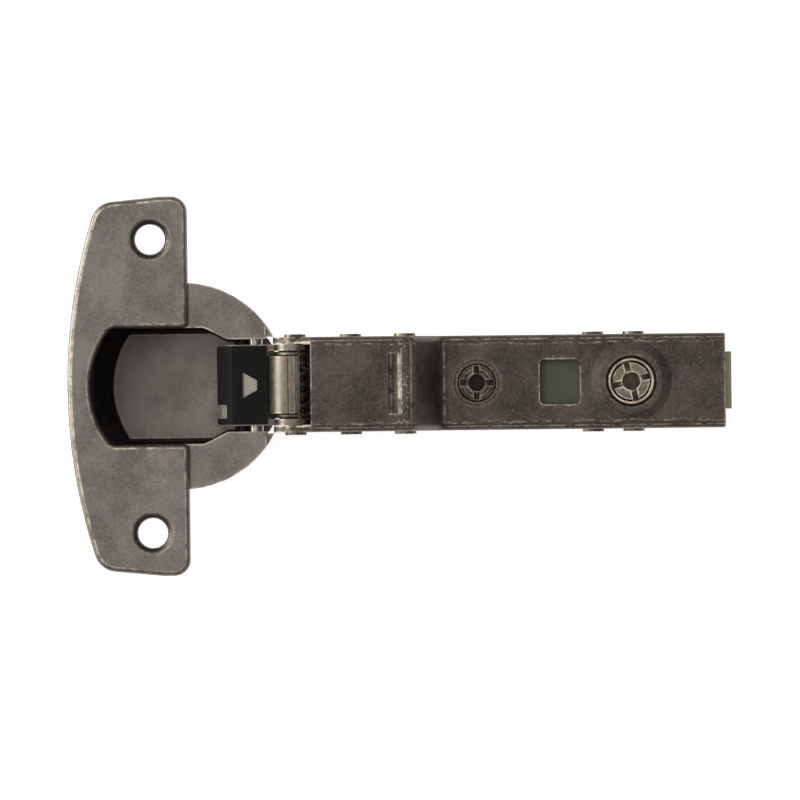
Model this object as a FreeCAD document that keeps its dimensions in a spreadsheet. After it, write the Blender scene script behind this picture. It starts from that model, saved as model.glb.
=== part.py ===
import FreeCAD, Part
import math
import os
import Sketcher

# Cranked concealed hinge with a 35 mm cup and a clip-on arm, opened to 90 degrees.
# The origin is midway between the two cup screws, on the face of the door. +X runs along the
# arm, +Y along the pins and +Z out of the door. Lengths are millimetres.

SIZES = {
    # the cup and its flange
    "bore_setback": 5.5,
    "screw_spacing": 52.0,
    "screw_hole": 5.3,
    "screw_round": 1.2,
    "screw_dimple": 10.0,
    "dimple_inset": 0.2,
    "flange_band": 4.1,
    "flange_bow_rise": 5.45,
    "flange_right": 6.6,
    "flange_end_band": 7.6,
    "flange_corner_drop": 1.1,
    "flange_shoulder": 1.8,
    "flange_corner": 2.8,
    "flange_left_corner": 4.2,
    "flange_top": 2.5,
    "flange_sheet": 1.3,
    "flange_edge_round": 0.9,
    "rim_lip": 2.0,
    "rim_sheet": 1.2,
    "rim_cut": 1.5,
    "rim_tail_top": 0.5,
    "rim_tail_low": 1.2,
    "rim_tail_gap": 0.15,
    "cup_depth": 12.8,
    "cup_sheet": 1.0,
    "trough_radius": 16.3,
    "trough_corner": 1.8,
    "neck_gap": 1.05,
    "neck_step": 2.1,
    "neck_start": 3.8,
    "neck_run": 4.1,
    "neck_floor": 6.5,
    "floor_round_less": 0.3,
    "lip_round": 0.8,
    "panel_gap": 3.9,
    "panel_side_gap": 1.0,
    "panel_right": 9.0,
    "panel_rise": 0.5,
    "ramp_rise": 3.6,
    "ramp_foot": 0.3,
    # the four pivots: the cup's pins from the trough's end, the rest from the front pivot
    "front_pivot_out": 3.7,
    "front_pivot_up": 3.2,
    "rear_pivot_along": 9.8,
    "rear_pivot_drop": 4.0,
    "cup_front_pin_in": 3.3,
    "cup_front_pin_down": 1.7,
    "cup_rear_pin_in": 5.5,
    "cup_rear_pin_down": 6.8,
    "cup_pin_radius": 1.25,
    "pivot_radius": 1.3,
    "running_gap": 0.05,
    "open_pivot_gap": 0.95,
    "open_pivot_along": 0.18,
    "open_pivot_down": 0.19,
    "link_side_gap": 0.1,
    # the outer link and its cover
    "link_sheet": 1.1,
    "barrel_radius": 4.7,
    "barrel_side_gap": 1.0,
    "barrel_slot_back": 0.5,
    "seam_back": 1.15,
    "seam_wide": 0.22,
    "seam_depth": 0.25,
    "link_front_eye": 3.7,
    "link_cup_eye": 2.4,
    "web_right_drop": 0.7,
    "web_fall": 0.7,
    "web_flat": 1.8,
    "web_end": 4.1,
    "web_end_fall": 2.6,
    "web_foot": 1.4,
    "cheek_under": 2.5,
    "cover_side_gap": 0.2,
    "cover_sheet": 0.9,
    "cover_left": 4.7,
    "cover_foot": 1.6,
    "cover_corner": 0.5,
    "cover_gap": 0.02,
    "window_left": 0.2,
    "window_long": 2.6,
    "window_wide": 2.3,
    "window_narrow": 0.85,
    "notch_from": 3.4,
    "notch_long": 2.5,
    "notch_depth": 1.7,
    # the inner link
    "inner_side_gap": 0.15,
    "inner_sheet": 1.1,
    "inner_cup_eye": 2.0,
    "inner_arm_eye": 3.1,
    "inner_dip_top": 4.5,
    "inner_dip_bottom": 7.2,
    "inner_dip_start": 3.0,
    "inner_dip_end": 4.0,
    # the arm
    "arm_half": 8.4,
    "arm_sheet": 1.15,
    "arm_rise": 5.3,
    "crank": 9.5,
    "crank_start": 20.9,
    "crank_run": 5.0,
    "crank_bend": 1.9,
    "arm_front": 2.7,
    "arm_trail": 16.1,
    "arm_depth": 11.8,
    "ear_radius": 3.9,
    "front_skirt": 7.0,
    "skirt_slope_run": 9.0,
    "arm_edge_round": 1.1,
    "groove_lead": 4.5,
    "groove_long": 2.4,
    "groove_half": 5.3,
    "groove_depth": 0.45,
    "groove_soft": 0.3,
    "sight_gap": 1.9,
    "sight_long": 7.1,
    "sight_half": 4.0,
    "sight_corner": 0.9,
    # rivets
    "rivet_head": 1.9,
    "rivet_rise": 0.5,
    "damper_rivet_lead": 1.5,
    "damper_rivet_drop": 0.6,
    "guide_lead": 7.2,
    "adapter_pin_drop": 8.2,
    # the closing spring
    "spring_wire": 1.15,
    "spring_pitch": 1.9,
    "spring_turns": 4.4,
    "spring_radius": 2.65,
    # the damper
    "damper_front": 7.0,
    "damper_half": 4.0,
    "damper_low": 4.8,
    "damper_head_gap": 0.35,
    "damper_tail": 2.3,
    "damper_back": 0.1,
    "damper_axis": 1.4,
    "plunger_radius": 1.1,
    "plunger_head": 1.9,
    "plunger_face": 3.7,
    "plunger_head_long": 1.0,
    "plunger_room": 5.0,
    "bore_wall": 3.0,
    "gland_long": 1.2,
    "damper_wire": 0.4,
    "damper_pitch": 1.1,
    "damper_spring_gap": 0.3,
    # the side screw
    "side_screw_lead": 6.2,
    "side_head": 3.28,
    "side_seat": 4.15,
    "side_seat_depth": 0.5,
    "side_hole_gap": 0.1,
    "side_hole": 3.45,
    "side_collar": 4.1,
    "side_collar_gap": 0.15,
    "side_collar_long": 0.6,
    "side_thread": 2.4,
    "side_thread_gap": 0.3,
    "side_foot": 10.0,
    "bush_wall": 1.1,
    "bush_long": 1.6,
    "side_socket": 1.5,
    "side_slot": 0.5,
    "side_slot_depth": 0.8,
    "side_ring_gap": 0.5,
    "side_ring_wide": 0.3,
    "side_ring_depth": 0.25,
    "side_recess": 0.3,
    # the slide plate
    "plate_lead": 4.5,
    "plate_trail": 6.9,
    "plate_side_gap": 0.35,
    "plate_sheet": 1.2,
    "plate_drop": 3.0,
    "lug_side_gap": 0.3,
    "lug_sheet": 0.85,
    "lug_back": 3.0,
    "lug_foot": 1.0,
    # the depth screw, an eccentric
    "screw_spread": 27.4,
    "adapter_pin_trail": 0.6,
    "depth_head": 4.2,
    "depth_ring": 0.6,
    "depth_head_gap": 0.35,
    "depth_shoulder": 3.7,
    "depth_flange": 0.9,
    "depth_neck": 3.0,
    "mound_outer": 7.2,
    "mound_inner": 5.6,
    "mound_rise": 0.35,
    "depth_recess": 0.1,
    "depth_moat": 0.18,
    "depth_bowl": 0.75,
    "depth_boss": 0.3,
    "depth_slot": 0.5,
    "depth_slot_depth": 0.8,
    "depth_slot_turn": 15.0,
    "depth_socket": 1.6,
    "cam_radius": 2.9,
    "cam_throw": 1.5,
    "cam_gap": 0.3,
    "cam_long": 1.35,
    # the adapter
    "adapter_lead": 2.9,
    "adapter_short": 1.7,
    "adapter_side_gap": 0.35,
    "adapter_sheet": 1.1,
    "adapter_drop": 0.3,
    "adapter_foot_gap": 0.4,
    "adapter_nose": 2.0,
    "depth_travel": 1.3,
    "tilt_room": 0.35,
    "hook_from": 3.0,
    "hook_long": 4.0,
    "hook_deep": 2.6,
    # the release catch
    "catch_pin_in": 5.0,
    "catch_pin_rise": 3.4,
    "catch_pin_radius": 1.2,
    "catch_side_gap": 0.7,
    "catch_sheet": 1.0,
    "catch_eye": 2.1,
    "catch_tab": 1.3,
    "catch_top": 0.3,
    "catch_foot": 0.5,
    "catch_wire": 0.5,
    "catch_spring_gap": 0.1,
    "catch_pitch": 0.75,
    "catch_turns": 5.0,
}


class Dim:
    """A size that keeps its number together with the sheet formula that it comes from."""

    def __init__(self, value, text):
        self.value = value
        self.text = text

    def __add__(self, other):
        other = dim(other)
        return Dim(self.value + other.value, f"({self.text} + {other.text})")

    def __radd__(self, other):
        return dim(other) + self

    def __sub__(self, other):
        other = dim(other)
        return Dim(self.value - other.value, f"({self.text} - {other.text})")

    def __rsub__(self, other):
        return dim(other) - self

    def __mul__(self, other):
        other = dim(other)
        return Dim(self.value * other.value, f"({self.text} * {other.text})")

    def __rmul__(self, other):
        return dim(other) * self

    def __truediv__(self, other):
        other = dim(other)
        return Dim(self.value / other.value, f"({self.text} / {other.text})")

    def __neg__(self):
        return Dim(-self.value, f"(0 - {self.text})")

    def root(self):
        return Dim(math.sqrt(self.value), f"sqrt({self.text})")

    def cosine(self):
        return Dim(math.cos(math.radians(self.value)), f"cos({self.text})")

    def sine(self):
        return Dim(math.sin(math.radians(self.value)), f"sin({self.text})")


def dim(number):
    """Takes a plain number or a Dim and gives a Dim."""
    if isinstance(number, Dim):
        return number
    return Dim(float(number), f"{float(number):.6f}")


doc = FreeCAD.newDocument("cranked_hinge")
sheet = doc.addObject("Spreadsheet::Sheet", "sizes")
for row, (alias, number) in enumerate(SIZES.items(), start=1):
    sheet.set(f"A{row}", alias)
    sheet.set(f"B{row}", str(number))
    sheet.setAlias(f"B{row}", alias)
doc.recompute()


def size(alias):
    return Dim(SIZES[alias], f"sizes.{alias}")


def bind(thing, path, number):
    """Ties one property of an object to its formula."""
    thing.setExpression(path, dim(number).text)


# Shared places, worked out from the driving sizes. The arm's width sets the widths of the
# links and of the trough, and the trough's end carries the arm.

cup_x = size("bore_setback")
flange_top = size("flange_top")
rim_top = size("rim_sheet")
cup_bottom = -size("cup_depth")
cup_floor = cup_bottom + size("cup_sheet")
trough_end = cup_x + size("trough_radius")
rim_radius = size("trough_radius") + size("rim_lip")
flange_half = size("screw_spacing") / 2 + size("flange_end_band")

arm_inner = size("arm_half") - size("arm_sheet")
link_half = arm_inner - size("link_side_gap")
link_inner = link_half - size("link_sheet")
inner_half = link_inner - size("inner_side_gap")
barrel_half = link_inner - size("barrel_side_gap")
cover_half = link_half - size("cover_side_gap")
neck_half = link_half + size("neck_gap")
trough_half = neck_half + size("neck_step")
plate_half = arm_inner - size("plate_side_gap")
adapter_half = arm_inner - size("adapter_side_gap")
adapter_inner = adapter_half - size("adapter_sheet")
lug_outer = adapter_inner - size("lug_side_gap")
lug_inner = lug_outer - size("lug_sheet")
catch_half = adapter_inner - size("catch_side_gap")

cup_front_pin = (trough_end - size("cup_front_pin_in"), -size("cup_front_pin_down"))
cup_rear_pin = (trough_end - size("cup_rear_pin_in"), -size("cup_rear_pin_down"))
front_pivot = (trough_end + size("front_pivot_out"), size("front_pivot_up"))
rear_pivot = (front_pivot[0] + size("rear_pivot_along"),
              front_pivot[1] - size("rear_pivot_drop"))

arm_top = front_pivot[1] + size("arm_rise")
front_ceiling = arm_top - size("arm_sheet")
rear_top = arm_top - size("crank")
rear_ceiling = rear_top - size("arm_sheet")
arm_bottom = rear_top - size("arm_depth")
plate_top = rear_top - size("plate_drop")
plate_bottom = plate_top - size("plate_sheet")
adapter_top = plate_bottom - size("adapter_drop")
adapter_ceiling = adapter_top - size("adapter_sheet")
adapter_low = arm_bottom + size("adapter_foot_gap")

crank_start = front_pivot[0] + size("crank_start")
crank_end = crank_start + size("crank_run")
side_x = crank_end + size("side_screw_lead")
depth_x = side_x + size("screw_spread")
adapter_pin = (depth_x + size("adapter_pin_trail"), rear_top - size("adapter_pin_drop"))
guide_pin = (adapter_pin[0] - size("guide_lead"), adapter_pin[1])
arm_end = adapter_pin[0] + size("arm_trail")
adapter_front = side_x + size("adapter_lead")
adapter_back = arm_end - size("adapter_short")
catch_pin = (adapter_back - size("catch_pin_in"), adapter_low + size("catch_pin_rise"))
bush_radius = size("side_thread") + size("side_thread_gap") + size("bush_wall")

damper_pin = (crank_start - size("damper_rivet_lead"),
              front_pivot[1] - size("damper_rivet_drop"))
damper_back = crank_start + size("damper_back")
damper_z = front_pivot[1] + size("damper_axis")
bore_end = damper_back - size("bore_wall")
plunger_end = bore_end - size("plunger_room")


# Sketch and feature helpers

def new_body(label):
    body = doc.addObject("PartDesign::Body", label)
    body.Label = label
    return body


def new_sketch(body, name, plane, level):
    sketch = body.newObject("Sketcher::SketchObject", name)
    base = [f for f in body.Origin.OriginFeatures if f.Role == plane][0]
    sketch.AttachmentSupport = (base, "")
    sketch.MapMode = "FlatFace"
    bind(sketch, "AttachmentOffset.Base.z", level)
    return sketch


def pin_point(sketch, edge, end, point):
    """Fixes one end of an edge at a place given by two formulas."""
    for kind, number in (("DistanceX", point[0]), ("DistanceY", point[1])):
        number = dim(number)
        rule = sketch.addConstraint(Sketcher.Constraint(kind, -1, 1, edge, end, number.value))
        sketch.setExpression(f"Constraints[{rule}]", number.text)


def draw_outline(sketch, points, arcs):
    """A closed outline. An edge in arcs is round: its radius is positive where the outline
    turns left along it, and negative where it turns right."""
    first_edge = sketch.GeometryCount
    ends = []
    count = len(points)
    for number in range(count):
        start = [dim(c).value for c in points[number]]
        stop = [dim(c).value for c in points[(number + 1) % count]]
        here = FreeCAD.Vector(start[0], start[1], 0)
        there = FreeCAD.Vector(stop[0], stop[1], 0)
        if number not in arcs:
            sketch.addGeometry(Part.LineSegment(here, there))
            ends.append((1, 2))
            continue
        radius = dim(arcs[number]).value
        chord = there - here
        left = FreeCAD.Vector(-chord.y, chord.x, 0).normalize()
        reach = math.sqrt(max(radius ** 2 - (chord.Length / 2) ** 2, 0))
        side = 1 if radius > 0 else -1
        centre = (here + there) * 0.5 + left * (reach * side)
        circle = Part.Circle(centre, FreeCAD.Vector(0, 0, 1), abs(radius))
        angle_here = math.atan2(here.y - centre.y, here.x - centre.x)
        angle_there = math.atan2(there.y - centre.y, there.x - centre.x)
        if side > 0:
            low, high = angle_here, angle_there
            ends.append((1, 2))
        else:
            low, high = angle_there, angle_here
            ends.append((2, 1))
        if high <= low:
            high += 2 * math.pi
        sketch.addGeometry(Part.ArcOfCircle(circle, low, high))
    for number in range(count):
        edge = first_edge + number
        after = first_edge + (number + 1) % count
        joint = Sketcher.Constraint("Coincident", edge, ends[number][1],
                                    after, ends[(number + 1) % count][0])
        sketch.addConstraint(joint)
        pin_point(sketch, edge, ends[number][0], points[number])
        if number in arcs:
            radius = dim(arcs[number])
            if radius.value < 0:
                radius = -radius
            rule = sketch.addConstraint(Sketcher.Constraint("Radius", edge, radius.value))
            sketch.setExpression(f"Constraints[{rule}]", radius.text)


def draw_circle(sketch, centre, radius):
    radius = dim(radius)
    place = FreeCAD.Vector(dim(centre[0]).value, dim(centre[1]).value, 0)
    edge = sketch.addGeometry(Part.Circle(place, FreeCAD.Vector(0, 0, 1), radius.value))
    pin_point(sketch, edge, 3, centre)
    rule = sketch.addConstraint(Sketcher.Constraint("Radius", edge, radius.value))
    sketch.setExpression(f"Constraints[{rule}]", radius.text)


def extrude(body, kind, name, plane, low, high, points=None, arcs=None, circles=()):
    """A Pad from the low level to the high one, or a Pocket of the same space. On the XZ
    plane the levels run along -Y, so there they are used as pairs about the middle."""
    low = dim(low)
    high = dim(high)
    sketch = new_sketch(body, name + "_sketch", plane, low if kind == "Pad" else high)
    if points:
        draw_outline(sketch, points, arcs or {})
    for centre, radius in circles:
        draw_circle(sketch, centre, radius)
    doc.recompute()
    before = body.Shape.Volume if body.Tip else 0
    feature = body.newObject("PartDesign::" + kind, name)
    feature.Profile = sketch
    bind(feature, "Length", high - low)
    body.Tip = feature
    doc.recompute()
    if abs(body.Shape.Volume - before) < 1e-6:
        raise ValueError(f"{body.Label}: {name} changes nothing")
    return feature


def pad(body, name, plane, low, high, **shape):
    return extrude(body, "Pad", name, plane, low, high, **shape)


def pocket(body, name, plane, low, high, **shape):
    return extrude(body, "Pocket", name, plane, low, high, **shape)


def across(body, name, half, **shape):
    """A Pad across the hinge, to the same distance on both sides of the middle."""
    return pad(body, name, "XZ_Plane", -half, half, **shape)


def cut_across(body, name, half, **shape):
    return pocket(body, name, "XZ_Plane", -half, half, **shape)


def turn(body, name, axis_x, points, cut=False):
    """Turns an outline round an upright axis at axis_x."""
    sketch = new_sketch(body, name + "_sketch", "XZ_Plane", 0)
    draw_outline(sketch, points, {})
    axis_x = dim(axis_x)
    top = FreeCAD.Vector(axis_x.value, 1, 0)
    foot = FreeCAD.Vector(axis_x.value, -1, 0)
    axis = sketch.addGeometry(Part.LineSegment(foot, top), True)
    pin_point(sketch, axis, 1, (axis_x, -1))
    pin_point(sketch, axis, 2, (axis_x, 1))
    doc.recompute()
    before = body.Shape.Volume if body.Tip else 0
    feature = body.newObject("PartDesign::Groove" if cut else "PartDesign::Revolution", name)
    feature.Profile = sketch
    feature.ReferenceAxis = (sketch, ["Axis0"])
    feature.Angle = 360
    body.Tip = feature
    doc.recompute()
    if abs(body.Shape.Volume - before) < 1e-6:
        raise ValueError(f"{body.Label}: {name} changes nothing")
    return feature


def dress(body, kind, name, amount, chosen):
    """A Fillet or Chamfer on the edges that the test picks."""
    base = body.Tip
    names = [f"Edge{n}" for n, edge in enumerate(base.Shape.Edges, start=1) if chosen(edge)]
    if not names:
        raise ValueError(f"{body.Label}: {name} finds no edge")
    feature = body.newObject("PartDesign::" + kind, name)
    feature.Base = (base, names)
    bind(feature, "Radius" if kind == "Fillet" else "Size", amount)
    body.Tip = feature
    doc.recompute()
    return feature


def near(first, second, slack=0.02):
    return abs(first - second) < slack


def level_edge(edge, height):
    """True for an edge that lies flat at one height."""
    box = edge.BoundBox
    height = dim(height).value
    return near(box.ZMin, height) and near(box.ZMax, height)


def upright_edge(edge):
    box = edge.BoundBox
    return box.ZLength > 0.05 and box.XLength < 0.01 and box.YLength < 0.01


def lengthwise_edge(edge, height):
    box = edge.BoundBox
    height = dim(height).value
    return box.YLength < 0.01 and box.XLength > 1 and near(box.ZMin, height) \
        and near(box.ZMax, height)


def rectangle(left, right, low, high):
    return [(left, low), (right, low), (right, high), (left, high)]


def place(thing, x=0, y=0, z=0, axis=(0, 0, 1), angle=0):
    """Gives an object its place, with the coordinates tied to their formulas."""
    turned = FreeCAD.Rotation(FreeCAD.Vector(*axis), angle)
    spot = FreeCAD.Vector(dim(x).value, dim(y).value, dim(z).value)
    thing.Placement = FreeCAD.Placement(spot, turned)
    for path, number in (("x", x), ("y", y), ("z", z)):
        bind(thing, f"Placement.Base.{path}", number)


# The cup, one piece drawn from sheet

def trough_outline(wall):
    """The plan of the trough, grown outward by wall."""
    radius = size("trough_radius") + wall
    half = trough_half + wall
    neck = neck_half + wall
    left = cup_x - (radius * radius - half * half).root()
    right = cup_x + (radius * radius - neck * neck).root()
    start = cup_x + size("neck_start")
    full = start + size("neck_run")
    points = [(left, -half), (start, -half), (full, -neck), (right, -neck),
              (right, neck), (full, neck), (start, half), (left, half)]
    return {"points": points, "arcs": {3: radius, 7: radius}}


def flange_outline(inset):
    """The plan of the flange with sharp corners, shrunk by inset. Its left side is bowed."""
    rise = size("flange_bow_rise")
    reach = size("trough_radius") + size("flange_band") - rise
    chord = flange_half - size("flange_corner_drop")
    bow = (chord * chord + rise * rise) / (rise * 2)
    corner_x = cup_x - reach + inset
    corner_y = chord - inset
    right = size("flange_right") - inset
    top = flange_half - inset
    shoulder_x = size("flange_shoulder")
    points = [(corner_x, -corner_y), (shoulder_x, -top), (right, -top),
              (right, top), (shoulder_x, top), (corner_x, corner_y)]
    return {"points": points, "arcs": {5: bow - inset}}


def round_flange(body, name, less, level):
    """Rounds the upright corners of the flange that reach the level, the left ones more."""
    middle = flange_outline(dim(0))["points"][0][0].value / 2
    for label, alias, left in (("left", "flange_left_corner", True),
                               ("right", "flange_corner", False)):
        dress(body, "Fillet", f"{name}_{label}", size(alias) - less,
              lambda edge: upright_edge(edge) and near(edge.BoundBox.ZMax, level)
              and (edge.BoundBox.XMin < middle) == left)


def make_cup_shell():
    body = new_body("cup_shell")
    flange_ceiling = flange_top - size("flange_sheet")
    top = flange_top.value
    pad(body, "flange", "XY_Plane", 0, flange_top, **flange_outline(dim(0)))
    round_flange(body, "flange_corners", dim(0), top)
    dress(body, "Fillet", "flange_edges", size("flange_edge_round"),
          lambda edge: level_edge(edge, top))
    pocket(body, "flange_hollow", "XY_Plane", 0, flange_ceiling,
           **flange_outline(size("flange_sheet")))
    round_flange(body, "hollow_corners", size("flange_sheet"), flange_ceiling.value)
    rim = rim_radius
    rim_left = size("flange_right") - size("flange_sheet")
    rim_right = trough_end - size("rim_cut")
    reach_left = (rim * rim - (cup_x - rim_left) * (cup_x - rim_left)).root()
    reach_right = (rim * rim - (rim_right - cup_x) * (rim_right - cup_x)).root()
    pad(body, "rim", "XY_Plane", 0, rim_top,
        points=[(rim_left, -reach_left), (rim_right, -reach_right),
                (rim_right, reach_right), (rim_left, reach_left)],
        arcs={0: rim, 2: rim})
    tail_inner = size("arm_half") + size("rim_tail_gap")
    tail_tip = cup_x + (rim * rim - tail_inner * tail_inner).root()
    for label, way in (("left", 1), ("right", -1)):
        pad(body, f"rim_tail_{label}", "XY_Plane", size("rim_tail_top") - size("rim_tail_low"),
            size("rim_tail_top"),
            points=[(rim_right - 1, tail_inner * way), (tail_tip, tail_inner * way),
                    (rim_right, reach_right * way), (rim_right - 1, reach_right * way)],
            arcs={1: rim * way})
    floor_round = size("trough_corner") - size("floor_round_less")
    pad(body, "trough", "XY_Plane", cup_bottom, rim_top, **trough_outline(size("cup_sheet")))
    bottom = cup_bottom.value
    dress(body, "Fillet", "outer_corners", size("trough_corner") + size("cup_sheet"),
          lambda edge: upright_edge(edge) and near(edge.BoundBox.ZMin, bottom))
    dress(body, "Fillet", "bottom_round", floor_round + size("cup_sheet"),
          lambda edge: level_edge(edge, bottom))
    pocket(body, "trough_inside", "XY_Plane", cup_floor, flange_top + 1,
           **trough_outline(dim(0)))
    floor = cup_floor.value
    dress(body, "Fillet", "inner_corners", size("trough_corner"),
          lambda edge: upright_edge(edge) and near(edge.BoundBox.ZMin, floor))
    dress(body, "Fillet", "floor_round", floor_round,
          lambda edge: level_edge(edge, floor))
    radius = size("trough_radius")
    neck_wall = cup_x + (radius * radius - neck_half * neck_half).root()
    pocket(body, "neck_opening", "XY_Plane", -size("neck_floor"), flange_top + 1,
           points=rectangle(neck_wall - 0.5, cup_x + rim_radius + 1, -neck_half, neck_half))
    foot_x = cup_x + size("panel_gap") - size("ramp_foot")
    ramp_half = trough_half + size("cup_sheet") / 2
    ramp_edge = foot_x - (radius * radius - ramp_half * ramp_half).root()
    ramp_top = cup_floor + size("ramp_rise")
    wall_reach = radius + size("cup_sheet") / 2
    ramp_back = cup_x - (wall_reach * wall_reach - ramp_half * ramp_half).root()
    pad(body, "ramp", "XY_Plane", cup_floor - 0.2, ramp_top,
        points=[(ramp_back, -ramp_half), (ramp_edge, -ramp_half), (ramp_edge, ramp_half),
                (ramp_back, ramp_half)],
        arcs={1: -radius, 3: wall_reach})
    ramp_height = ramp_top.value
    dress(body, "Chamfer", "ramp_slope", size("ramp_rise") - 0.1,
          lambda edge: level_edge(edge, ramp_height) and edge.BoundBox.YLength > 5
          and near(edge.BoundBox.XMin, foot_x.value - radius.value, 0.3))
    panel_right = cup_x + size("panel_right")
    panel_half = trough_half - size("panel_side_gap")
    panel_edge = cup_x + size("panel_gap") - (radius * radius - panel_half * panel_half).root()
    pad(body, "floor_panel", "XY_Plane", cup_floor - 0.2, cup_floor + size("panel_rise"),
        points=[(panel_edge, -panel_half), (panel_right, -panel_half),
                (panel_right, panel_half), (panel_edge, panel_half)],
        arcs={3: radius})
    cut_across(body, "pin_holes", trough_half + 2,
               circles=[(spot, size("cup_pin_radius")) for spot in (cup_front_pin, cup_rear_pin)])
    screws = [(0, side * size("screw_spacing") / 2) for side in (-1, 1)]
    pad(body, "screw_dimples", "XY_Plane", 0, flange_top - size("dimple_inset"),
        circles=[(spot, size("screw_dimple") / 2) for spot in screws])
    pocket(body, "screw_holes", "XY_Plane", -1, flange_top + 1,
           circles=[(spot, size("screw_hole") / 2) for spot in screws])
    hole_width = size("screw_hole").value
    dress(body, "Fillet", "screw_rounds", size("screw_round"),
          lambda edge: level_edge(edge, top) and near(edge.BoundBox.XLength, hole_width))
    half = trough_half.value + 0.1
    dress(body, "Fillet", "lip", size("lip_round"),
          lambda edge: level_edge(edge, top) and abs(edge.BoundBox.YMin) < half
          and abs(edge.BoundBox.YMax) < half)
    return body


def make_pin(label, spot, radius, half_length, head=None, rise=None):
    """A round pin along Y, with a riveted head at each end where head is given."""
    pieces = []
    lengths = [(radius, 2 * half_length, -half_length)]
    if head is not None:
        lengths.append((head, rise, half_length))
        lengths.append((head, rise, -half_length - rise))
    for number, (thick, long, start) in enumerate(lengths):
        rod = doc.addObject("Part::Cylinder", f"{label}_rod{number}")
        bind(rod, "Radius", thick)
        bind(rod, "Height", long)
        place(rod, y=dim(start) + dim(long), axis=(1, 0, 0), angle=90)
        pieces.append(rod)
    pin = doc.addObject("Part::MultiFuse", label)
    if head is None:
        doc.removeObject(pin.Name)
        pin = doc.addObject("Part::Compound", label)
        pin.Links = pieces
    else:
        pin.Shapes = pieces
    pin.Label = label
    place(pin, x=spot[0], z=spot[1])
    return pin


# The outer link, folded from sheet, with the barrel that wraps the closing spring

def make_outer_link():
    body = new_body("outer_link")
    pivot_x, pivot_z = front_pivot
    pin_x, pin_z = cup_rear_pin
    barrel = size("barrel_radius")
    sheet_wall = size("link_sheet")
    eye = size("link_front_eye")
    cup_eye = size("link_cup_eye")
    under = pivot_z - size("cheek_under")
    throat_x = pivot_x - barrel - 0.2
    throat = pivot_z - size("web_right_drop")
    web_left, web_left_z = pin_x - size("web_flat"), throat - size("web_fall")
    web_end, web_end_z = pin_x - size("web_end"), web_left_z - size("web_end_fall")
    drop = size("cheek_under")
    eye_touch = pivot_x - (eye * eye - drop * drop).root()
    inner_x = pin_x - 0.25
    points = [
        (pivot_x, pivot_z + barrel),
        (pivot_x - barrel, pivot_z),
        (throat_x, throat),
        (web_left, web_left_z),
        (web_end, web_end_z),
        (pin_x - cup_eye, pin_z),
        (pin_x, pin_z - cup_eye),
        (pin_x + cup_eye, pin_z),
        (pin_x + cup_eye * 0.6, pin_z + cup_eye * 0.8),
        (inner_x, pin_z + cup_eye * 1.6),
        (inner_x, under - 0.3),
        (inner_x + 0.6, under),
        (eye_touch, under),
        (pivot_x, pivot_z - eye),
        (pivot_x + eye, pivot_z),
        (pivot_x, pivot_z + eye),
    ]
    arcs = {0: barrel, 5: cup_eye, 6: cup_eye, 7: cup_eye, 12: eye, 13: eye, 14: eye}
    across(body, "cheeks", link_half, points=points, arcs=arcs)
    inside = barrel - sheet_wall
    points = [
        (pivot_x, pivot_z + inside),
        (pivot_x - inside, pivot_z),
        (pivot_x - inside - 0.3, throat - sheet_wall + 0.1),
        (web_left + 0.5, web_left_z - sheet_wall),
        (web_end + 1.3, web_end_z - 0.5),
        (web_end - 1, web_end_z - size("web_foot")),
        (web_end - 1, pin_z - 4),
        (pivot_x + 5, pin_z - 4),
        (pivot_x + 5, pivot_z + inside),
    ]
    cut_across(body, "between_cheeks", link_inner, points=points, arcs={0: inside})
    neck_x = pivot_x - (eye * eye - (pivot_z - throat) * (pivot_z - throat)).root()
    over = pivot_z + barrel + 1
    slot_left = throat_x + 0.05
    slot_right = pivot_x + size("barrel_slot_back")
    for label, way in (("left", 1), ("right", -1)):
        for name, near_y, far_y, shape in (
                ("shoulder", barrel_half, link_half + 1,
                 {"points": [(throat_x - 1, throat), (neck_x, throat), (pivot_x, pivot_z + eye),
                             (slot_right, pivot_z + eye), (slot_right, over),
                             (throat_x - 1, over)],
                  "arcs": {1: -eye}}),
                ("slot", barrel_half, link_inner,
                 {"points": rectangle(slot_left, slot_right, pivot_z - barrel, over)})):
            low, high = (near_y, far_y) if way > 0 else (-far_y, -near_y)
            pocket(body, f"barrel_{name}_{label}", "XZ_Plane", low, high, **shape)
    seam_x = pivot_x - size("seam_back")
    seam_low = pivot_z + barrel - size("seam_depth") - size("seam_back") / 8
    pocket(body, "barrel_seam", "XY_Plane", seam_low, over,
           points=rectangle(seam_x - size("seam_wide"), seam_x, -barrel_half, barrel_half))
    cut_across(body, "pivot_hole", link_half + 1,
               circles=[(front_pivot, size("pivot_radius") + size("running_gap"))])
    cut_across(body, "cup_pin_hole", link_half + 1,
               circles=[(cup_rear_pin, size("cup_pin_radius") + size("running_gap"))])
    return body


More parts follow.
